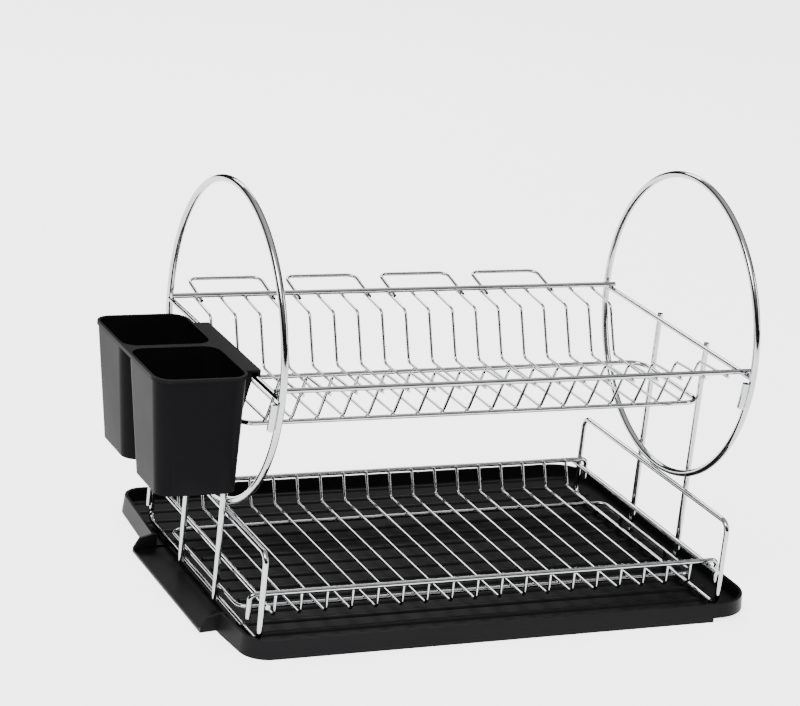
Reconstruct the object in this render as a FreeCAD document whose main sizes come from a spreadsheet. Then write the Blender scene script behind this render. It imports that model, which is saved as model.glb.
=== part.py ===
import FreeCAD, Part
import math
import os

import Sketcher

# Two-tier dish drying rack, in millimetres: +X to the right along its length, +Y to the back,
# +Z up. Sizes are laid out from the point midway between the two side hoops, and every
# placement then moves them so that the origin is the middle of the whole outline, on the counter.

Vector = FreeCAD.Vector

# Sizes that are chosen. Each is written once and can be changed by itself.
DRIVING = [
    # drip tray
    ("tray_length", 472), ("tray_depth", 335.5), ("tray_height", 16), ("right_corner", 38),
    ("left_corner", 22), ("left_nip", 6), ("tray_flare", 1.5), ("tray_draft", 1.5),
    ("tray_wall", 2.6), ("tray_floor", 2.4), ("tray_offset", 10), ("tray_shift", 28.25),
    ("skirt_height", 3.5), ("skirt_wall", 5), ("skirt_step", 44),
    ("ridge_pitch", 22), ("ridge_width", 9), ("ridge_height", 1.6), ("ridge_inset", 13),
    ("ridge_margin", 16),
    ("spout_width", 170), ("spout_forward", 23.75), ("spout_reach", 15), ("spout_run", 34),
    ("spout_drop", 3), ("spout_floor", 2.4), ("spout_cheek", 2.6), ("spout_lip", 1.6),
    ("spout_knee", 5), ("spout_knee_drop", 3), ("spout_gap", 3),
    # rod diameters, and how deep a weld lets one rod into the next
    ("hoop_rod", 6), ("rail_rod", 4.5), ("post_rod", 5), ("guard_rod", 4.6), ("basket_rod", 4.2),
    ("frame_rod", 3.6), ("loop_rod", 4), ("thin_wire", 2.5), ("hanger_rod", 3), ("tie_rod", 3),
    ("weld_bite", 0.1), ("tie_bite", 0.025), ("rest_gap", 0.3),
    # lower basket
    ("guard_half_span", 209.5), ("guard_front", 127), ("guard_back", 135), ("guard_height", 75),
    ("guard_corner", 9), ("side_rail_rise", 31), ("side_rail_tail", 2), ("basket_front", 112),
    ("rail_overhang", 4.5), ("rail_leg", 20), ("rail_corner", 5), ("floor_rise", 14),
    ("wall_lean", 9), ("wire_corner", 4), ("wire_tip", 1), ("frame_half_length", 210),
    ("frame_front", 83), ("frame_back", 82), ("frame_corner", 10), ("tie_offset", 8),
    ("wire_pitch", 22.4), ("wire_count", 18),
    # side hoops and posts
    ("hoop_half_span", 210.5), ("hoop_radius", 130), ("lap_start", 4), ("lap_angle", 10),
    ("post_front", 43), ("post_back", 39), ("post_tip", 0.9), ("post_foot_rise", 1),
    # upper basket
    ("rim_drop", 6.2), ("rim_half_depth", 120.5), ("rim_overhang", 2), ("wire_tail", 3.5),
    ("peak_front", 76), ("peak_drop", 1.8), ("trough_front", 54), ("trough_back", 66),
    ("trough_depth", 44.8), ("shoulder_back", 84), ("shoulder_drop", 3.3),
    ("loop_half_depth", 53), ("loop_corner", 14), ("plate_corner", 6),
    ("hanger_width", 66), ("hanger_pitch", 89.8), ("hanger_reach", 38.5), ("hanger_corner", 8),
    ("hanger_tilt", 12), ("hanger_count", 4), ("hanger_edge", 24.9), ("hanger_tail", 3),
    # cutlery holder
    ("cup_width", 79), ("cup_length", 80), ("cup_pitch", 82), ("cup_height", 99.5),
    ("cup_wall", 1.6), ("cup_corner", 15), ("cup_foot_corner", 12), ("cup_taper_out", 12),
    ("cup_taper_side", 8), ("holder_centre", 9.5), ("rim_plate", 3), ("rim_bead", 0.8),
    ("hook_plate", 2),
    ("hook_lip", 8), ("hook_front", 74), ("hook_back", 46), ("hook_clear", 1.1),
    ("web_drop", 36), ("web_edge", 7), ("web_plate", 2.4), ("web_gap", 0.4),
]

# Places that follow from the sizes above.
DERIVED = [
    # heights, from the counter up
    ("tray_floor_top", "=skirt_height + tray_floor"),
    ("ridge_top", "=tray_floor_top + ridge_height"),
    ("runner_level", "=ridge_top + rest_gap + guard_rod / 2"),
    ("guard_level", "=runner_level + guard_height"),
    ("side_rail_level", "=runner_level + side_rail_rise"),
    ("cross_rail_level", "=side_rail_level + basket_rod - weld_bite"),
    ("floor_level", "=runner_level + floor_rise"),
    ("frame_level", "=floor_level - (thin_wire + frame_rod) / 2 + weld_bite"),
    ("wall_top_level", "=cross_rail_level + wire_tip"),
    ("leg_level", "=cross_rail_level - rail_leg"),
    ("hoop_level", "=guard_level + guard_rod / 2 + rest_gap + hoop_rod / 2 + hoop_radius"),
    ("rim_side_level", "=hoop_level - rim_drop"),
    ("rim_cross_level", "=rim_side_level + rail_rod - weld_bite"),
    ("plate_level", "=rim_cross_level - (rail_rod + thin_wire) / 2 + weld_bite"),
    ("peak_level", "=plate_level - peak_drop"),
    ("trough_level", "=plate_level - trough_depth"),
    ("shoulder_level", "=plate_level - shoulder_drop"),
    ("front_tail_level", "=plate_level + peak_drop * wire_tail / (rim_half_depth - peak_front)"),
    ("back_tail_level",
     "=plate_level + shoulder_drop * wire_tail / (rim_half_depth - shoulder_back)"),
    ("loop_level", "=trough_level - (thin_wire + loop_rod) / 2 + weld_bite"),
    ("post_foot_level", "=runner_level + post_foot_rise"),
    ("post_top_level", "=rim_side_level + rail_rod / 2 + post_tip"),
    ("holder_level", "=post_top_level + rest_gap + hook_plate"),
    ("hanger_level", "=rim_cross_level - ((rail_rod + hanger_rod) / 2 - weld_bite)"
     " / cos(hanger_tilt) - hanger_tail * tan(hanger_tilt)"),
    # along the length
    ("post_span", "=hoop_half_span + (hoop_rod + post_rod) / 2 - weld_bite"),
    ("rim_side_span", "=post_span - (post_rod + rail_rod) / 2 + weld_bite"),
    ("rim_reach", "=rim_side_span + rim_overhang"),
    ("side_rail_span", "=guard_half_span - (guard_rod + basket_rod) / 2 + weld_bite"),
    ("rail_reach", "=guard_half_span + rail_overhang"),
    ("rail_reach_left", "=-rail_reach"),
    ("tie_span", "=(guard_half_span + frame_half_length) / 2"),
    ("frame_left", "=-frame_half_length"),
    ("loop_half_length", "=post_span - (post_rod + loop_rod) / 2 + weld_bite"),
    ("loop_left", "=-loop_half_length"),
    ("first_wire", "=-wire_pitch * (wire_count - 1) / 2"),
    ("first_hanger", "=-rim_side_span + hanger_edge"),
    ("lap_shift", "=hoop_rod - weld_bite"),
    # front to back
    ("guard_front_place", "=-guard_front"),
    ("basket_front_place", "=-basket_front"),
    ("basket_back_place", "=guard_back - (guard_rod + basket_rod) / 2 + weld_bite"),
    ("wall_front", "=basket_front_place + (basket_rod + thin_wire) / 2 - weld_bite"),
    ("wall_slope", "=wall_lean / (cross_rail_level - floor_level)"),
    ("wall_crossing", "=basket_back_place - ((basket_rod + thin_wire) / 2 - weld_bite)"
     " * sqrt(1 + wall_slope ^ 2)"),
    ("wall_back_top", "=wall_crossing + wall_slope * wire_tip"),
    ("wall_back_foot", "=wall_crossing - wall_lean"),
    ("frame_front_place", "=-frame_front"),
    ("side_rail_length", "=guard_front + guard_back + 2 * side_rail_tail"),
    ("rim_side_half", "=sqrt(hoop_radius ^ 2 - rim_drop ^ 2) - hoop_rod / 2 + weld_bite"),
    ("front_tail_place", "=-(rim_half_depth + wire_tail)"),
    ("back_tail_place", "=rim_half_depth + wire_tail"),
    ("peak_place", "=-peak_front"),
    ("trough_front_place", "=-trough_front"),
    ("loop_front_place", "=-loop_half_depth"),
    ("hanger_root", "=rim_half_depth - hanger_tail"),
    ("origin_place", "=0"),
    # drip tray, laid out from its own middle
    ("shoulder_rear", "=spout_width / 2 + spout_gap - spout_forward"),
    ("shoulder_front", "=-(spout_width / 2 + spout_gap + spout_forward)"),
    ("step_edge", "=tray_length / 2 - skirt_step"),
    ("step_far", "=tray_length / 2 + tray_wall"),
    ("well_inset", "=tray_flare + tray_wall + tray_draft"),
    ("ridge_start", "=-tray_length / 2 + ridge_inset"),
    ("ridge_length", "=tray_length / 2 - well_inset - ridge_margin - ridge_start"),
    ("ridge_rows", "=floor((tray_depth - 2 * well_inset - ridge_width - 6) / ridge_pitch) + 1"),
    ("ridge_first", "=-ridge_pitch * (ridge_rows - 1) / 2"),
    ("spout_tip", "=-(tray_length / 2 + spout_reach)"),
    ("spout_root", "=-(tray_length / 2 - spout_run)"),
    ("spout_inside", "=-(tray_length / 2 - well_inset)"),
    ("spout_shoulder", "=-(tray_length / 2 - tray_flare)"),
    ("spout_knee_place", "=spout_tip + spout_knee"),
    ("spout_knee_level", "=tray_height - spout_knee_drop"),
    ("spout_tip_top", "=tray_floor_top - spout_drop"),
    ("spout_tip_base", "=spout_tip_top - spout_floor"),
    ("spout_tip_lip", "=spout_tip_top + spout_lip"),
    ("spout_bed", "=tray_floor_top - tray_floor / 3"),
    ("spout_channel", "=spout_width - 2 * spout_cheek"),
    ("spout_past", "=spout_tip - spout_reach"),
    ("spout_past_level", "=tray_floor_top - spout_drop * (spout_root - spout_past)"
     " / (spout_root - spout_tip)"),
    ("spout_above", "=tray_height + tray_wall"),
    # cutlery holder
    ("cup_near", "=post_span + post_rod / 2 + hook_clear"),
    ("cup_middle", "=-(cup_near + cup_width / 2)"),
    ("cup_foot_middle", "=-(cup_near + (cup_width - cup_taper_out) / 2)"),
    ("cup_foot_width", "=cup_width - cup_taper_out"),
    ("cup_foot_length", "=cup_length - 2 * cup_taper_side"),
    ("cup_foot_level", "=holder_level - cup_height"),
    ("cup_brim_width", "=cup_width - 2 * rim_bead"),
    ("cup_brim_length", "=cup_length - 2 * rim_bead"),
    ("cup_brim_corner", "=cup_corner - rim_bead"),
    ("bore_width", "=cup_brim_width - 2 * cup_wall"),
    ("bore_length", "=cup_brim_length - 2 * cup_wall"),
    ("bore_corner", "=cup_brim_corner - cup_wall"),
    ("bore_foot_width", "=cup_foot_width - 2 * cup_wall"),
    ("bore_foot_length", "=cup_foot_length - 2 * cup_wall"),
    ("bore_foot_corner", "=cup_foot_corner - cup_wall"),
    ("bore_foot_level", "=cup_foot_level + cup_wall"),
    ("plate_length", "=cup_pitch + cup_length"),
    ("plate_underside", "=holder_level - rim_plate"),
    ("holder_middle", "=-holder_centre"),
    ("hook_root", "=-(cup_near + cup_wall)"),
    ("hook_lip_face", "=-(rim_side_span - rail_rod / 2 - rest_gap)"),
    ("hook_tip", "=hook_lip_face + hook_plate"),
    ("hook_underside", "=holder_level - hook_plate"),
    ("hook_lip_level", "=hook_underside - hook_lip"),
    ("hook_length", "=hook_front + hook_back"),
    ("hook_middle", "=(hook_back - hook_front) / 2"),
    ("web_front_edge", "=-(rim_side_span + rail_rod / 2 + web_gap)"),
    ("web_corner_level", "=hook_underside - web_edge"),
    ("web_foot_level", "=hook_underside - web_drop"),
    ("web_root", "=-(cup_near + cup_wall / 2)"),
    ("web_back_place", "=hook_back - web_plate / 2"),
    ("web_front_place", "=-hook_front + web_plate / 2"),
    # from the middle of the hoops to the middle of the outline
    ("tray_reach", "=tray_offset + tray_length / 2 - tray_flare * skirt_height / tray_height"),
    ("centre_x", "=(cup_near + cup_width - tray_reach) / 2"),
    ("centre_y", "=-tray_shift"),
]

# Outlines of the tray and how far each lies inside the foot: the brim, the well's brim and
# floor, and the hollow under the skirt.
OUTLINES = {"foot": "0", "brim": "tray_flare", "well_brim": "(tray_flare + tray_wall)",
            "well_floor": "well_inset", "skirt": "skirt_wall"}
for outline, inset in OUTLINES.items():
    DERIVED += [
        (f"{outline}_left", f"=-tray_length / 2 + {inset}"),
        (f"{outline}_nip", f"=-tray_length / 2 + left_nip + {inset}"),
        (f"{outline}_right", f"=tray_length / 2 - {inset}"),
        (f"{outline}_front", f"=-tray_depth / 2 + {inset}"),
        (f"{outline}_rear", f"=tray_depth / 2 - {inset}"),
        (f"{outline}_left_round", f"=left_corner - {inset}"),
        (f"{outline}_right_round", f"=right_corner - {inset}"),
    ]

doc = FreeCAD.newDocument("dish_rack")
sheet = doc.addObject("Spreadsheet::Sheet", "sizes")
for row, (alias, value) in enumerate(DRIVING + DERIVED, start=1):
    sheet.set(f"A{row}", alias)
    sheet.set(f"B{row}", str(value))
    sheet.setAlias(f"B{row}", alias)
doc.recompute()

parts = []


def size(alias):
    """Value of a named cell."""
    return float(sheet.get(alias))


def bind(thing, property_name, expression):
    """Tie a property to the sheet; cell names in the expression carry the sheet's name."""
    thing.setExpression(property_name, expression)


def keep(thing, label):
    """Name a finished sub-part and list it for export."""
    thing.Label = label
    parts.append(thing)
    return thing


def new_body(name):
    return doc.addObject("PartDesign::Body", name)


def origin_feature(body, role):
    return next(item for item in body.Origin.OriginFeatures if item.Role == role)


def new_sketch(body, name, role, offset=None):
    """Sketch on an origin plane, raised along the plane's normal by a cell."""
    sketch = body.newObject("Sketcher::SketchObject", name)
    sketch.AttachmentSupport = [(origin_feature(body, role), "")]
    sketch.MapMode = "FlatFace"
    if offset:
        bind(sketch, "AttachmentOffset.Base.z", f"sizes.{offset}")
    return sketch


def constrain(sketch, kind, *arguments, cell=None):
    """Add one constraint; a cell gives a dimension its value and its expression."""
    if cell is None:
        return sketch.addConstraint(Sketcher.Constraint(kind, *arguments))
    index = sketch.addConstraint(Sketcher.Constraint(kind, *arguments, abs(size(cell))
                                                     if kind in ("Radius", "Diameter")
                                                     else size(cell)))
    bind(sketch, f"Constraints[{index}]", f"sizes.{cell}")
    return index


def pin(sketch, geometry, position, across, along):
    """Place a point by two cells, or on an axis where the cell is zero."""
    for kind, cell, axis in (("DistanceX", across, -2), ("DistanceY", along, -1)):
        if abs(size(cell)) < 1e-9:
            constrain(sketch, "PointOnObject", geometry, position, axis)
        else:
            constrain(sketch, kind, -1, 1, geometry, position, cell=cell)


def bend(before, corner, after, radius):
    """Tangent points and centre of the arc that rounds a corner."""
    back = (before - corner).normalize()
    ahead = (after - corner).normalize()
    half = back.getAngle(ahead) / 2
    setback = radius / math.tan(half)
    centre = corner + (back + ahead).normalize() * (radius / math.sin(half))
    return corner + back * setback, corner + ahead * setback, centre


def add_arc(sketch, start, end, centre, radius):
    """Arc the short way round; returns its index and which end is its start."""
    first = math.atan2(start.y - centre.y, start.x - centre.x)
    last = math.atan2(end.y - centre.y, end.x - centre.x)
    forwards = (last - first) % (2 * math.pi) < math.pi
    angles = (first, last) if forwards else (last, first)
    circle = Part.Circle(centre, Vector(0, 0, 1), radius)
    index = sketch.addGeometry(Part.ArcOfCircle(circle, *angles), False)
    return index, (1, 2) if forwards else (2, 1)


def bent_path(body, name, role, corners, radius_cells, closed=False, offset=None):
    """Straight runs joined by tangent arcs; each corner is a pair of cells."""
    sketch = new_sketch(body, name, role, offset)
    points = [Vector(size(across), size(along), 0) for across, along in corners]
    count = len(points)
    if isinstance(radius_cells, str):
        radius_cells = [radius_cells] * count
    turns = range(count) if closed else range(1, count - 1)
    rounds = {turn: bend(points[turn - 1], points[turn], points[(turn + 1) % count],
                         size(radius_cells[turn])) for turn in turns}
    runs = []
    for start in range(count if closed else count - 1):
        end = (start + 1) % count
        leaving = rounds[start][1] if start in rounds else points[start]
        arriving = rounds[end][0] if end in rounds else points[end]
        runs.append(sketch.addGeometry(Part.LineSegment(leaving, arriving), False))
    first_arcs = {}
    for turn in turns:
        cell = radius_cells[turn]
        arc, (entry, leave) = add_arc(sketch, *rounds[turn], size(cell))
        before = runs[turn - 1]
        after = runs[turn]
        constrain(sketch, "Tangent", before, 2, arc, entry)
        constrain(sketch, "Tangent", arc, leave, after, 1)
        if cell in first_arcs:
            constrain(sketch, "Equal", first_arcs[cell], arc)
        else:
            first_arcs[cell] = arc
            constrain(sketch, "Radius", arc, cell=cell)
        corner = sketch.addGeometry(Part.Point(points[turn]), True)
        pin(sketch, corner, 1, *corners[turn])
        constrain(sketch, "PointOnObject", corner, 1, before)
        constrain(sketch, "PointOnObject", corner, 1, after)
    if not closed:
        pin(sketch, runs[0], 1, *corners[0])
        pin(sketch, runs[-1], 2, *corners[-1])
    return sketch


def bent_rod(name, role, corners, radius_cell, rod_cell, closed=False):
    """Round rod swept along a bent path, as one body."""
    body = new_body(name)
    path = bent_path(body, f"{name}_path", role, corners, radius_cell, closed)
    doc.recompute()
    section = body.newObject("Sketcher::SketchObject", f"{name}_section")
    section.AttachmentSupport = [(path, "Edge1")]
    section.MapMode = "NormalToEdge"
    circle = section.addGeometry(Part.Circle(Vector(), Vector(0, 0, 1), size(rod_cell) / 2), False)
    constrain(section, "Coincident", circle, 3, -1, 1)
    constrain(section, "Diameter", circle, cell=rod_cell)
    pipe = body.newObject("PartDesign::AdditivePipe", f"{name}_pipe")
    pipe.Profile = section
    pipe.Spine = (path, [])
    return body


def place(thing, across="0", along="0", up="0"):
    """Bind a placement to expressions laid out from the middle of the hoops."""
    bind(thing, "Placement.Base.x", f"{across} + sizes.centre_x")
    bind(thing, "Placement.Base.y", f"{along} + sizes.centre_y")
    bind(thing, "Placement.Base.z", up)
    return thing


def straight_rod(name, rod_cell, length, axis, across, along, up):
    """Cylinder along X, Y or Z that starts at the given place."""
    rod = doc.addObject("Part::Cylinder", name)
    bind(rod, "Radius", f"sizes.{rod_cell} / 2")
    bind(rod, "Height", length)
    turn = {"x": (Vector(0, 1, 0), 90), "y": (Vector(1, 0, 0), -90), "z": (Vector(0, 0, 1), 0)}
    rod.Placement.Rotation = FreeCAD.Rotation(*turn[axis])
    return place(rod, across, along, up)


def rounded_rectangle(body, name, offset, length_cell, depth_cell, corner_cell,
                      centre_x=None, centre_y=None):
    """Rounded rectangle on the XY plane, about a centre given by cells."""
    sketch = new_sketch(body, name, "XY_Plane", offset)
    if centre_x:
        bind(sketch, "AttachmentOffset.Base.x", f"sizes.{centre_x}")
    if centre_y:
        bind(sketch, "AttachmentOffset.Base.y", centre_y)
    half_x = size(length_cell) / 2
    half_y = size(depth_cell) / 2
    radius = size(corner_cell)
    corners = [Vector(-half_x, -half_y, 0), Vector(half_x, -half_y, 0),
               Vector(half_x, half_y, 0), Vector(-half_x, half_y, 0)]
    rounds = [bend(corners[turn - 1], corners[turn], corners[(turn + 1) % 4], radius)
              for turn in range(4)]
    sides = []
    for start in range(4):
        segment = Part.LineSegment(rounds[start][1], rounds[(start + 1) % 4][0])
        sides.append(sketch.addGeometry(segment, False))
    arcs = []
    for turn in range(4):
        arc, (entry, leave) = add_arc(sketch, *rounds[turn], radius)
        constrain(sketch, "Tangent", sides[turn - 1], 2, arc, entry)
        constrain(sketch, "Tangent", arc, leave, sides[turn], 1)
        arcs.append(arc)
    for side, kind in zip(sides, ("Horizontal", "Vertical", "Horizontal", "Vertical")):
        constrain(sketch, kind, side)
    for arc in arcs[1:]:
        constrain(sketch, "Equal", arcs[0], arc)
    constrain(sketch, "Radius", arcs[0], cell=corner_cell)
    constrain(sketch, "Symmetric", sides[0], 1, sides[2], 1, -1, 1)
    constrain(sketch, "DistanceX", sides[3], 1, sides[1], 1, cell=length_cell)
    constrain(sketch, "DistanceY", sides[0], 1, sides[2], 1, cell=depth_cell)
    return sketch


def polygon(body, name, role, corners, offset=None):
    """Closed outline with straight sides; each corner is a pair of cells."""
    sketch = new_sketch(body, name, role)
    if offset:
        bind(sketch, "AttachmentOffset.Base.z", offset)
    points = [Vector(size(across), size(along), 0) for across, along in corners]
    lines = []
    for start, point in enumerate(points):
        segment = Part.LineSegment(point, points[(start + 1) % len(points)])
        lines.append(sketch.addGeometry(segment, False))
    for index, line in enumerate(lines):
        constrain(sketch, "Coincident", lines[index - 1], 2, line, 1)
        pin(sketch, line, 1, *corners[index])
    return sketch


def loft(body, kind, name, first, last):
    """Additive or subtractive loft between two outlines."""
    feature = body.newObject(f"PartDesign::{kind}Loft", name)
    feature.Profile = first
    feature.Sections = [last]
    feature.Ruled = True
    first.Visibility = False
    last.Visibility = False
    return feature


def pad(body, name, sketch, length, middle=False, reverse=False):
    feature = body.newObject("PartDesign::Pad", name)
    feature.Profile = sketch
    bind(feature, "Length", length)
    feature.Midplane = middle
    feature.Reversed = reverse
    return feature


def pocket(body, name, sketch, length, middle=False, reverse=False):
    feature = body.newObject("PartDesign::Pocket", name)
    feature.Profile = sketch
    bind(feature, "Length", length)
    feature.Midplane = middle
    feature.Reversed = reverse
    return feature


# ---- drip tray ---------------------------------------------------------------------------

def tray_outline(body, outline, offset=None):
    """Wide corners on the right; on the left the wall closes in from the lip to each corner."""
    corners = [("nip", "front"), ("right", "front"), ("right", "rear"), ("nip", "rear")]
    points = [(f"{outline}_{across}", f"{outline}_{along}") for across, along in corners]
    points += [(f"{outline}_left", "shoulder_rear"), (f"{outline}_left", "shoulder_front")]
    left = f"{outline}_left_round"
    right = f"{outline}_right_round"
    return bent_path(body, f"{outline}_outline", "XY_Plane", points,
                     [left, right, right, left, left, left], True, offset)


def make_tray():
    """Moulded tray: open skirt below, ridged floor, and a wide pouring lip in the left wall."""
    body = new_body("tray_body")
    loft(body, "Additive", "tray_shell", tray_outline(body, "foot"),
         tray_outline(body, "brim", "tray_height"))
    loft(body, "Subtractive", "tray_well", tray_outline(body, "well_floor", "tray_floor_top"),
         tray_outline(body, "well_brim", "tray_height"))
    doc.recompute()
    pocket(body, "skirt_hollow", tray_outline(body, "skirt"), "sizes.skirt_height", reverse=True)
    step = polygon(body, "step_outline", "XZ_Plane",
                   [("step_edge", "origin_place"), ("step_far", "origin_place"),
                    ("step_far", "skirt_height"), ("step_edge", "skirt_height")])
    pocket(body, "skirt_step_cut", step, "3 * sizes.tray_depth", middle=True)
    doc.recompute()
    add_ridges(body)
    chute = polygon(body, "spout_outline", "XZ_Plane",
                    [("spout_root", "skirt_height"), ("spout_tip", "spout_tip_base"),
                     ("spout_tip", "spout_tip_lip"), ("spout_knee_place", "spout_knee_level"),
                     ("spout_shoulder", "tray_height"), ("spout_inside", "tray_height"),
                     ("spout_inside", "spout_bed"), ("spout_root", "spout_bed")],
                    offset="sizes.spout_forward")
    pad(body, "spout_block", chute, "sizes.spout_width", middle=True)
    channel = polygon(body, "channel_outline", "XZ_Plane",
                      [("spout_root", "tray_floor_top"), ("spout_past", "spout_past_level"),
                       ("spout_past", "spout_above"), ("spout_root", "spout_above")],
                      offset="sizes.spout_forward")
    pocket(body, "spout_channel_cut", channel, "sizes.spout_channel", middle=True)
    doc.recompute()
    place(body, across="sizes.tray_offset", along="sizes.tray_shift")
    return keep(body, "drip_tray")


def add_ridges(body):
    """Low rounded ridges along X that hold the basket's runners off the wet floor."""
    sketch = new_sketch(body, "ridge_outline", "YZ_Plane", "ridge_start")
    bind(sketch, "AttachmentOffset.Base.x", "sizes.ridge_first")
    bind(sketch, "AttachmentOffset.Base.y", "sizes.tray_floor_top")
    half = size("ridge_width") / 2
    height = size("ridge_height")
    left = Vector(-half, 0, 0)
    right = Vector(half, 0, 0)
    base = sketch.addGeometry(Part.LineSegment(left, right), False)
    crown = sketch.addGeometry(Part.Arc(right, Vector(0, height, 0), left), False)
    top = sketch.addGeometry(Part.Point(Vector(0, height, 0)), True)
    constrain(sketch, "Coincident", base, 2, crown, 1)
    constrain(sketch, "Coincident", base, 1, crown, 2)
    constrain(sketch, "Symmetric", base, 1, base, 2, -1, 1)
    constrain(sketch, "Horizontal", base)
    constrain(sketch, "DistanceX", base, 1, base, 2, cell="ridge_width")
    constrain(sketch, "PointOnObject", top, 1, -2)
    constrain(sketch, "DistanceY", -1, 1, top, 1, cell="ridge_height")
    constrain(sketch, "PointOnObject", top, 1, crown)
    ridge = pad(body, "ridge", sketch, "sizes.ridge_length")
    doc.recompute()
    rows = body.newObject("PartDesign::LinearPattern", "ridge_rows_pattern")
    rows.Originals = [ridge]
    rows.Direction = (origin_feature(body, "Y_Axis"), [""])
    bind(rows, "Length", "sizes.ridge_pitch * (sizes.ridge_rows - 1)")
    bind(rows, "Occurrences", "sizes.ridge_rows")
    body.Tip = rows


# ---- lower basket ------------------------------------------------------------------------

def make_guard(side, sign):
    """Closed side frame of the basket: tall top rail, two legs and the runner it stands on."""
    body = bent_rod(f"guard_body_{side}", "YZ_Plane",
                    [("guard_front_place", "runner_level"), ("guard_back", "runner_level"),
                     ("guard_back", "guard_level"), ("guard_front_place", "guard_level")],
                    "guard_corner", "guard_rod", closed=True)
    place(body, across=f"{sign} * sizes.guard_half_span")
    return keep(body, f"guard_{side}")


def make_basket_rails():
    """Rim of the lower basket: two side rails, and two cross rails with down-turned ends."""
    for side, sign in (("left", -1), ("right", 1)):
        rail = straight_rod(f"side_rail_{side}", "basket_rod", "sizes.side_rail_length", "y",
                            f"{sign} * sizes.side_rail_span",
                            "-sizes.guard_front - sizes.side_rail_tail", "sizes.side_rail_level")
        keep(rail, f"basket_side_{side}")
    for end, along in (("front", "sizes.basket_front_place"), ("back", "sizes.basket_back_place")):
        body = bent_rod(f"cross_rail_{end}", "XZ_Plane",
                        [("rail_reach_left", "leg_level"), ("rail_reach_left", "cross_rail_level"),
                         ("rail_reach", "cross_rail_level"), ("rail_reach", "leg_level")],
                        "rail_corner", "basket_rod")
        place(body, along=along)
        keep(body, f"basket_rail_{end}")


def make_basket_floor():
    """Frame under the floor, its ties to the runners, and the floor wires with upturned ends."""
    frame = bent_rod("frame_body", "XY_Plane",
                     [("frame_left", "frame_front_place"), ("frame_half_length", "frame_front_place"),
                      ("frame_half_length", "frame_back"), ("frame_left", "frame_back")],
                     "frame_corner", "frame_rod", closed=True)
    place(frame, up="sizes.frame_level")
    keep(frame, "floor_frame")
    ties = []
    for side, sign in (("left", -1), ("right", 1)):
        for end, along in (("front", "-sizes.post_front"), ("back", "sizes.post_back")):
            base = "sizes.runner_level + sizes.guard_rod / 2 - sizes.tie_bite"
            top = "sizes.frame_level - sizes.frame_rod / 2 + sizes.tie_bite"
            ties.append(straight_rod(f"tie_{side}_{end}", "tie_rod", f"{top} - ({base})", "z",
                                     f"{sign} * sizes.tie_span", f"{along} + sizes.tie_offset",
                                     base))
    group = doc.addObject("Part::Compound", "ties")
    group.Links = ties
    keep(group, "floor_ties")
    pair = []
    for index in range(int(size("wire_count"))):
        wire = bent_rod(f"floor_wire_{index + 1}", "YZ_Plane",
                        [("wall_front", "wall_top_level"), ("wall_front", "floor_level"),
                         ("wall_back_foot", "floor_level"), ("wall_back_top", "wall_top_level")],
                        "wire_corner", "thin_wire")
        place(wire, across=f"sizes.first_wire + {index} * sizes.wire_pitch")
        pair.append(wire)
        if len(pair) == 2:
            group = doc.addObject("Part::Compound", f"wire_pair_{index // 2 + 1}")
            group.Links = pair
            keep(group, f"floor_wires_{index // 2 + 1}")
            pair = []


# ---- side hoops and posts ----------------------------------------------------------------

def make_hoop(side, sign):
    """Rod bent into a full circle; its ends lap side by side at the front, below the rim."""
    ring = doc.addObject("Part::Torus", f"hoop_ring_{side}")
    bind(ring, "Radius1", "sizes.hoop_radius")
    bind(ring, "Radius2", "sizes.hoop_rod / 2")
    lap = doc.addObject("Part::Torus", f"hoop_lap_{side}")
    bind(lap, "Radius1", "sizes.hoop_radius")
    bind(lap, "Radius2", "sizes.hoop_rod / 2")
    bind(lap, "Angle3", "sizes.lap_angle")
    # The ring's axis lies along X. The lap starts at the front, a little below the middle.
    upright = FreeCAD.Rotation(Vector(0, 1, 0), 90)
    front = FreeCAD.Rotation(Vector(1, 0, 0), 180 + size("lap_start"))
    quarter = FreeCAD.Rotation(Vector(0, 0, 1), 90)
    ring.Placement.Rotation = upright
    lap.Placement.Rotation = front.multiply(upright).multiply(quarter)
    place(ring, f"{sign} * sizes.hoop_half_span", up="sizes.hoop_level")
    place(lap, f"{sign} * sizes.hoop_half_span - sizes.lap_shift", up="sizes.hoop_level")
    hoop = doc.addObject("Part::MultiFuse", f"hoop_body_{side}")
    hoop.Shapes = [ring, lap]
    return keep(hoop, f"hoop_{side}")


def make_posts():
    """Two upright posts on the outside of each hoop, from the runner up to the side rail."""
    for side, sign in (("left", -1), ("right", 1)):
        for end, along in (("front", "-sizes.post_front"), ("back", "sizes.post_back")):
            post = straight_rod(f"post_body_{side}_{end}", "post_rod",
                                "sizes.post_top_level - sizes.post_foot_level", "z",
                                f"{sign} * sizes.post_span", along, "sizes.post_foot_level")
            keep(post, f"post_{side}_{end}")


# ---- upper basket ------------------------------------------------------------------------

def make_rim():
    """Side rails butted between the hoops' front and back, and cross rails laid on them."""
    for side, sign in (("left", -1), ("right", 1)):
        rail = straight_rod(f"rim_side_{side}", "rail_rod", "2 * sizes.rim_side_half", "y",
                            f"{sign} * sizes.rim_side_span", "-sizes.rim_side_half",
                            "sizes.rim_side_level")
        keep(rail, f"rim_{side}")
    for end, sign in (("front", -1), ("back", 1)):
        rail = straight_rod(f"rim_cross_{end}", "rail_rod", "2 * sizes.rim_reach", "x",
                            "-sizes.rim_reach", f"{sign} * sizes.rim_half_depth",
                            "sizes.rim_cross_level")
        keep(rail, f"rim_{end}")


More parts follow.
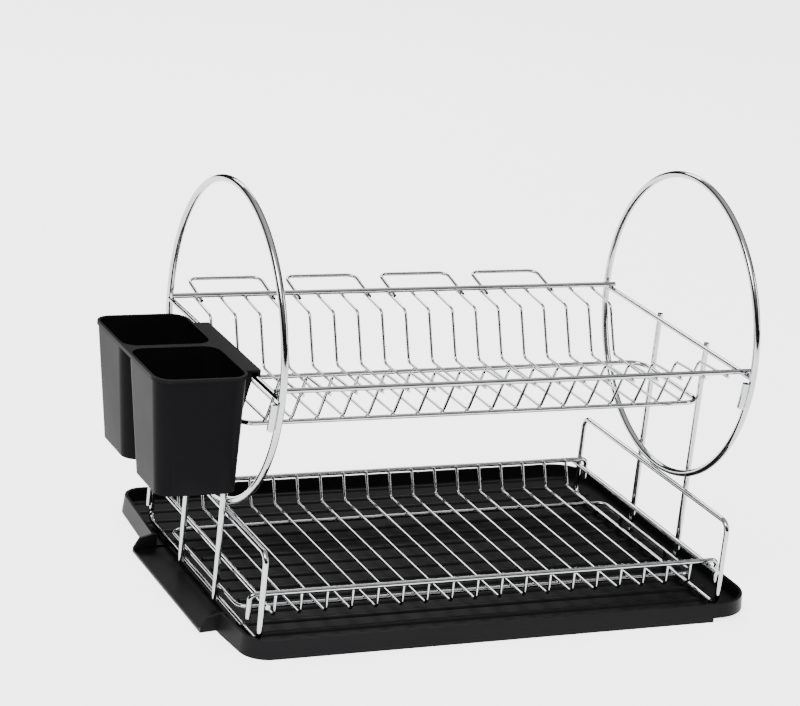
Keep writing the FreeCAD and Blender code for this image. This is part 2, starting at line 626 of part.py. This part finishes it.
def make_plate_trough():
    """Bent wires that hold plates on edge, and the rounded loop they rest on."""
    loop = bent_rod("trough_loop_body", "XY_Plane",
                    [("loop_left", "loop_front_place"), ("loop_half_length", "loop_front_place"),
                     ("loop_half_length", "loop_half_depth"), ("loop_left", "loop_half_depth")],
                    "loop_corner", "loop_rod", closed=True)
    place(loop, up="sizes.loop_level")
    keep(loop, "trough_loop")
    for index in range(int(size("wire_count"))):
        wire = bent_rod(f"plate_wire_body_{index + 1}", "YZ_Plane",
                        [("front_tail_place", "front_tail_level"), ("peak_place", "peak_level"),
                         ("trough_front_place", "trough_level"), ("trough_back", "trough_level"),
                         ("shoulder_back", "shoulder_level"),
                         ("back_tail_place", "back_tail_level")],
                        "plate_corner", "thin_wire")
        place(wire, across=f"sizes.first_wire + {index} * sizes.wire_pitch")
        keep(wire, f"plate_wire_{index + 1:02d}")


def make_hangers():
    """Loops behind the back rail that carry stemmed glasses by their feet."""
    for index in range(int(size("hanger_count"))):
        hanger = bent_rod(f"hanger_body_{index + 1}", "XY_Plane",
                          [("origin_place", "origin_place"), ("origin_place", "hanger_reach"),
                           ("hanger_width", "hanger_reach"), ("hanger_width", "origin_place")],
                          "hanger_corner", "hanger_rod")
        hanger.Placement.Rotation = FreeCAD.Rotation(Vector(1, 0, 0), size("hanger_tilt"))
        place(hanger, f"sizes.first_hanger + {index} * sizes.hanger_pitch", "sizes.hanger_root",
              "sizes.hanger_level")
        keep(hanger, f"glass_hanger_{index + 1}")


# ---- cutlery holder ----------------------------------------------------------------------

def make_holder():
    """Two tapered cups under one rim plate, with a hook and two webs over the left side rail."""
    body = new_body("holder_body")
    plate = rounded_rectangle(body, "plate_outline", "plate_underside", "cup_width",
                              "plate_length", "cup_corner", "cup_middle", "sizes.holder_middle")
    pad(body, "rim_plate_pad", plate, "sizes.rim_plate")
    middles = {"front": "sizes.holder_middle - sizes.cup_pitch / 2",
               "back": "sizes.holder_middle + sizes.cup_pitch / 2"}
    for end, middle in middles.items():
        foot = rounded_rectangle(body, f"cup_foot_{end}", "cup_foot_level", "cup_foot_width",
                                 "cup_foot_length", "cup_foot_corner", "cup_foot_middle", middle)
        brim = rounded_rectangle(body, f"cup_brim_{end}", "holder_level", "cup_brim_width",
                                 "cup_brim_length", "cup_brim_corner", "cup_middle", middle)
        loft(body, "Additive", f"cup_{end}", foot, brim)
        doc.recompute()
    add_hook(body)
    for end, middle in middles.items():
        foot = rounded_rectangle(body, f"bore_foot_{end}", "bore_foot_level", "bore_foot_width",
                                 "bore_foot_length", "bore_foot_corner", "cup_foot_middle", middle)
        brim = rounded_rectangle(body, f"bore_brim_{end}", "holder_level", "bore_width",
                                 "bore_length", "bore_corner", "cup_middle", middle)
        loft(body, "Subtractive", f"bore_{end}", foot, brim)
        doc.recompute()
    place(body)
    return keep(body, "cutlery_holder")


def add_hook(body):
    """Flange with a down-turned lip over the rail, and a web under each end of the flange."""
    hook = polygon(body, "hook_outline", "XZ_Plane",
                   [("hook_root", "holder_level"), ("hook_root", "hook_underside"),
                    ("hook_lip_face", "hook_underside"), ("hook_lip_face", "hook_lip_level"),
                    ("hook_tip", "hook_lip_level"), ("hook_tip", "holder_level")],
                   offset="-sizes.hook_middle")
    pad(body, "hook", hook, "sizes.hook_length", middle=True)
    for end, along in (("front", "web_front_place"), ("back", "web_back_place")):
        web = polygon(body, f"web_outline_{end}", "XZ_Plane",
                      [("web_root", "hook_underside"), ("web_root", "web_foot_level"),
                       ("web_front_edge", "web_corner_level"),
                       ("web_front_edge", "hook_underside")],
                      offset=f"-sizes.{along}")
        pad(body, f"web_{end}", web, "sizes.web_plate", middle=True)
    doc.recompute()


def check_and_export():
    """Stop on any failed object or invalid sub-part, then write one STEP file for each."""
    doc.recompute()
    for item in doc.Objects:
        if "Invalid" in item.State or "Error" in item.State:
            raise RuntimeError(f"{item.Name} failed: {item.State}")
    for item in parts:
        if item.Shape.isNull() or not item.Shape.isValid() or not item.Shape.Solids:
            raise RuntimeError(f"{item.Label} has no valid solid")
    os.makedirs("parts", exist_ok=True)
    for item in parts:
        item.Shape.exportStep(f"parts/{item.Label}.step")


make_tray()
for side, sign in (("left", -1), ("right", 1)):
    make_guard(side, sign)
    make_hoop(side, sign)
make_basket_rails()
make_basket_floor()
make_posts()
make_rim()
make_plate_trough()
make_hangers()
make_holder()
check_and_export()
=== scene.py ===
import math

import bmesh
import bpy
from mathutils import Matrix, Vector


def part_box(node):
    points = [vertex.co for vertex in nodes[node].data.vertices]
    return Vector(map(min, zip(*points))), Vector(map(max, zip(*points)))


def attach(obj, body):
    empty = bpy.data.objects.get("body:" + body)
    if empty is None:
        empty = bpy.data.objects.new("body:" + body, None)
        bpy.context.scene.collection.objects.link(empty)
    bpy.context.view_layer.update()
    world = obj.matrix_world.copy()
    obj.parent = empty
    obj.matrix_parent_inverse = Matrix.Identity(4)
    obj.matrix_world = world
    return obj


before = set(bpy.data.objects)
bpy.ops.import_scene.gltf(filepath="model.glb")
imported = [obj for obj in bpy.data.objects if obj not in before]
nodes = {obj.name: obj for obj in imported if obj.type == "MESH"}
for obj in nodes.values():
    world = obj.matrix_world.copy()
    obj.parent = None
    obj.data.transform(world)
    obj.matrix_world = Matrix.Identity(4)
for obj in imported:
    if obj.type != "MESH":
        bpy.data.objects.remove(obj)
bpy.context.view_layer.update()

# Rod diameters and weld beads, in metres.
THIN_WIRE = 0.0025
LOOP_ROD = 0.004
BASKET_ROD = 0.0042
FRAME_ROD = 0.0036
WELD_FLAT = (0.0021, 0.0021, 0.0011)
WELD_UPRIGHT = (0.0019, 0.0011, 0.0021)

# Softened edges of the moulded parts.
EDGE_SEGMENTS = 3
EDGE_ANGLE = 38
TRAY_EDGE = 0.0007
HOLDER_EDGE = 0.0006

# Where a noise texture's values start and end, so that a range covers nearly all of it.
NOISE_LOW = 0.2
NOISE_HIGH = 0.8
# Paler colour painted on the plastic's convex edges: a painted sheen on the ridges.
PAINTED_EDGE_SHEEN = (0.012, 0.012, 0.013)

# The camera was fitted to the photograph's rack; its focal length is in widths of the frame.
CAMERA_PLACE = (-0.97013, -1.98092, 0.90226)
CAMERA_ANGLES = (-25.802, 17.861, -6.32)
FOCAL_WIDTHS = 3.424925
SENSOR_WIDTH = 36.0


# ---- materials ---------------------------------------------------------------------------

def new_material(name):
    material = bpy.data.materials.new(name)
    material.use_nodes = True
    tree = material.node_tree
    shader = next(node for node in tree.nodes if node.type == "BSDF_PRINCIPLED")
    return material, tree, shader


def object_noise(tree, scale, detail=2.0, stretch=(1, 1, 1)):
    """Noise in the object's own space, so it stays with the piece."""
    place = tree.nodes.new("ShaderNodeTexCoord")
    mapping = tree.nodes.new("ShaderNodeMapping")
    mapping.inputs["Scale"].default_value = stretch
    noise = tree.nodes.new("ShaderNodeTexNoise")
    noise.inputs["Scale"].default_value = scale
    noise.inputs["Detail"].default_value = detail
    tree.links.new(place.outputs["Object"], mapping.inputs["Vector"])
    tree.links.new(mapping.outputs["Vector"], noise.inputs["Vector"])
    return noise


def value_range(tree, source, low, high, start=NOISE_LOW, end=NOISE_HIGH):
    ramp = tree.nodes.new("ShaderNodeMapRange")
    ramp.inputs["From Min"].default_value = start
    ramp.inputs["From Max"].default_value = end
    ramp.inputs["To Min"].default_value = low
    ramp.inputs["To Max"].default_value = high
    tree.links.new(source, ramp.inputs["Value"])
    return ramp.outputs["Result"]


def colour_range(tree, source, first, second, start=NOISE_LOW, end=NOISE_HIGH):
    ramp = tree.nodes.new("ShaderNodeValToRGB")
    ramp.color_ramp.elements[0].position = start
    ramp.color_ramp.elements[1].position = end
    ramp.color_ramp.elements[0].color = (*first, 1)
    ramp.color_ramp.elements[1].color = (*second, 1)
    tree.links.new(source, ramp.inputs["Fac"])
    return ramp.outputs["Color"]


def bump(tree, shader, height, strength, distance):
    node = tree.nodes.new("ShaderNodeBump")
    node.inputs["Strength"].default_value = strength
    node.inputs["Distance"].default_value = distance
    tree.links.new(height, node.inputs["Height"])
    tree.links.new(node.outputs["Normal"], shader.inputs["Normal"])


def make_chrome():
    """Polished chrome plate: mirror bright, with faint smears and the plating's slight ripple."""
    material, tree, shader = new_material("chrome_plate")
    smear = object_noise(tree, 30.0, 3.0)
    shader.inputs["Metallic"].default_value = 1.0
    tree.links.new(colour_range(tree, smear.outputs["Fac"], (0.34, 0.345, 0.355),
                                (0.44, 0.445, 0.455)), shader.inputs["Base Color"])
    tree.links.new(value_range(tree, smear.outputs["Fac"], 0.05, 0.13),
                   shader.inputs["Roughness"])
    ripple = object_noise(tree, 90.0, 2.0)
    bump(tree, shader, ripple.outputs["Fac"], 0.05, 0.0004)
    return material


def make_plastic(name, dark, light, roughness, grain, gloss):
    """Moulded black plastic: slight cloudiness, a painted sheen of paler colour on the convex
    edges, and a fine moulded grain.
    """
    material, tree, shader = new_material(name)
    shader.inputs["Specular IOR Level"].default_value = gloss
    cloud = object_noise(tree, 14.0, 3.0)
    body_colour = colour_range(tree, cloud.outputs["Fac"], dark, light)
    # Convex edges, found by pointiness, get the paler colour: painted sheen on the ridges.
    geometry = tree.nodes.new("ShaderNodeNewGeometry")
    edge = value_range(tree, geometry.outputs["Pointiness"], 0.0, 0.45, 0.53, 0.62)
    edge_sheen_mix = tree.nodes.new("ShaderNodeMix")
    edge_sheen_mix.data_type = "RGBA"
    colour_inputs = [item for item in edge_sheen_mix.inputs if item.type == "RGBA"]
    colour_inputs[1].default_value = (*PAINTED_EDGE_SHEEN, 1)
    tree.links.new(edge, edge_sheen_mix.inputs[0])
    tree.links.new(body_colour, colour_inputs[0])
    colour_output = next(item for item in edge_sheen_mix.outputs if item.type == "RGBA")
    tree.links.new(colour_output, shader.inputs["Base Color"])
    tree.links.new(value_range(tree, cloud.outputs["Fac"], *roughness),
                   shader.inputs["Roughness"])
    texture = object_noise(tree, 900.0, 2.0)
    bump(tree, shader, texture.outputs["Fac"], grain, 0.0001)
    return material


chrome = make_chrome()
tray_plastic = make_plastic("tray_plastic", (0.0036, 0.0036, 0.0039), (0.0056, 0.0056, 0.0060),
                            (0.33, 0.41), 0.25, 0.03)
holder_plastic = make_plastic("holder_plastic", (0.0028, 0.0028, 0.0033), (0.0044, 0.0044, 0.0050),
                              (0.36, 0.44), 0.2, 0.02)


def set_material(thing, material):
    for slot in thing.material_slots:
        slot.material = material


for name, thing in nodes.items():
    set_material(thing, chrome)
set_material(nodes["drip_tray"], tray_plastic)
set_material(nodes["cutlery_holder"], holder_plastic)


# ---- softened edges and weld beads -------------------------------------------------------

def soften(thing, width):
    """Round the moulded edges a little; the mesh itself stays as the CAD made it."""
    bevel = thing.modifiers.new("soft_edges", "BEVEL")
    bevel.width = width
    bevel.segments = EDGE_SEGMENTS
    bevel.limit_method = "ANGLE"
    bevel.angle_limit = math.radians(EDGE_ANGLE)


def middle(node):
    low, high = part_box(node)
    return (Vector(low) + Vector(high)) / 2


def wire_places():
    """Centre line of each floor wire along X; a node holds two wires, one at each end."""
    places = []
    for name in sorted(nodes):
        if name.startswith("floor_wires_"):
            low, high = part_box(name)
            places += [low[0] + THIN_WIRE / 2, high[0] - THIN_WIRE / 2]
    return places


def add_beads(name, spots, body):
    """Small flattened beads of weld metal where wires cross rails, as one mesh."""
    form = bmesh.new()
    for place, radii in spots:
        shape = Matrix.Translation(place) @ Matrix.Diagonal((*radii, 1))
        bmesh.ops.create_icosphere(form, subdivisions=2, radius=1.0, matrix=shape)
    for face in form.faces:
        face.smooth = True
    mesh = bpy.data.meshes.new(name)
    form.to_mesh(mesh)
    form.free()
    mesh.materials.append(chrome)
    thing = bpy.data.objects.new(name, mesh)
    bpy.context.collection.objects.link(thing)
    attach(thing, body)


def make_welds():
    upper = []
    for name in sorted(nodes):
        if not name.startswith("plate_wire_"):
            continue
        across = middle(name).x
        for rail in ("rim_front", "rim_back"):
            place = middle(rail)
            upper.append((Vector((across, place.y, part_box(rail)[0][2])), WELD_FLAT))
        low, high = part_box("trough_loop")
        for along in (low[1] + LOOP_ROD / 2, high[1] - LOOP_ROD / 2):
            upper.append((Vector((across, along, high[2])), WELD_FLAT))
    add_beads("weld_beads_upper", upper, "upper_rack")
    lower = []
    for across in wire_places():
        front, back = middle("basket_rail_front"), middle("basket_rail_back")
        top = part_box("basket_rail_front")[1][2] - BASKET_ROD / 2
        lower.append((Vector((across, front.y + BASKET_ROD / 2, top)), WELD_UPRIGHT))
        lower.append((Vector((across, back.y - BASKET_ROD / 2, top)), WELD_UPRIGHT))
        low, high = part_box("floor_frame")
        for along in (low[1] + FRAME_ROD / 2, high[1] - FRAME_ROD / 2):
            lower.append((Vector((across, along, high[2])), WELD_FLAT))
    add_beads("weld_beads_lower", lower, "lower_rack")


soften(nodes["drip_tray"], TRAY_EDGE)
soften(nodes["cutlery_holder"], HOLDER_EDGE)
make_welds()


# ---- floor, backdrop, light and camera ---------------------------------------------------

def make_stage():
    material, tree, shader = new_material("pale_floor")
    tint = object_noise(tree, 3.0, 2.0)
    tree.links.new(colour_range(tree, tint.outputs["Fac"], (0.90, 0.90, 0.90),
                                (0.92, 0.92, 0.92), 0.35, 0.65), shader.inputs["Base Color"])
    shader.inputs["Roughness"].default_value = 0.7
    shader.inputs["Emission Color"].default_value = (1, 1, 1, 1)
    shader.inputs["Emission Strength"].default_value = 3.0
    mesh = bpy.data.meshes.new("floor")
    form = bmesh.new()
    bmesh.ops.create_grid(form, x_segments=1, y_segments=1, size=30.0)
    form.to_mesh(mesh)
    form.free()
    floor = bpy.data.objects.new("floor", mesh)
    floor.data.materials.append(material)
    bpy.context.collection.objects.link(floor)


def area_light(name, place, target, width, height, power, tint=(1, 1, 1)):
    light = bpy.data.lights.new(name, "AREA")
    light.shape = "RECTANGLE"
    light.size = width
    light.size_y = height
    light.energy = power
    light.color = tint
    thing = bpy.data.objects.new(name, light)
    thing.location = place
    thing.rotation_euler = (Vector(target) - Vector(place)).to_track_quat("-Z", "Y").to_euler()
    bpy.context.collection.objects.link(thing)
    return thing


def make_light():
    """Studio: bright overhead, dark towards the horizon, and three soft boxes."""
    world = bpy.data.worlds.new("studio")
    world.use_nodes = True
    tree = world.node_tree
    backdrop = tree.nodes["Background"]
    direction = tree.nodes.new("ShaderNodeTexCoord")
    parts = tree.nodes.new("ShaderNodeSeparateXYZ")
    height = tree.nodes.new("ShaderNodeMapRange")
    height.inputs["From Min"].default_value = -1.0
    ramp = tree.nodes.new("ShaderNodeValToRGB")
    ramp.color_ramp.elements[0].position = 0.46
    ramp.color_ramp.elements[0].color = (0.30, 0.30, 0.30, 1)
    ramp.color_ramp.elements[1].position = 0.96
    ramp.color_ramp.elements[1].color = (1.0, 1.0, 1.0, 1)
    for place, shade in ((0.50, 0.012), (0.66, 0.02), (0.80, 0.30)):
        stop = ramp.color_ramp.elements.new(place)
        stop.color = (shade, shade, shade, 1)
    tree.links.new(direction.outputs["Generated"], parts.inputs["Vector"])
    tree.links.new(parts.outputs["Z"], height.inputs["Value"])
    tree.links.new(height.outputs["Result"], ramp.inputs["Fac"])
    tree.links.new(ramp.outputs["Color"], backdrop.inputs["Color"])
    backdrop.inputs["Strength"].default_value = 1.0
    bpy.context.scene.world = world
    area_light("key", (-1.3, -1.0, 2.1), (0, 0, 0.1), 1.4, 1.0, 62)
    area_light("fill", (1.9, -1.4, 1.2), (0, 0, 0.15), 0.5, 1.4, 22)
    area_light("back", (0.4, 2.2, 1.7), (0, 0, 0.15), 2.2, 0.7, 34)


def make_camera():
    """Same viewing angle as the photograph: from the left front, with a slight roll."""
    centre = Vector(CAMERA_PLACE)
    azimuth, elevation, roll = (math.radians(value) for value in CAMERA_ANGLES)
    ahead = Vector((math.sin(-azimuth) * math.cos(elevation),
                    math.cos(azimuth) * math.cos(elevation), -math.sin(elevation)))
    level = ahead.cross(Vector((0, 0, 1))).normalized()
    down = ahead.cross(level)
    right = math.cos(roll) * level + math.sin(roll) * down
    below = -math.sin(roll) * level + math.cos(roll) * down
    camera = bpy.data.cameras.new("camera")
    camera.sensor_width = SENSOR_WIDTH
    camera.lens = SENSOR_WIDTH * FOCAL_WIDTHS
    camera.clip_start = 0.05
    camera.clip_end = 50
    thing = bpy.data.objects.new("camera", camera)
    axes = Matrix((right, -below, -ahead)).transposed()
    thing.matrix_world = Matrix.Translation(centre) @ axes.to_4x4()
    bpy.context.collection.objects.link(thing)
    bpy.context.scene.camera = thing


make_stage()
make_light()
make_camera()
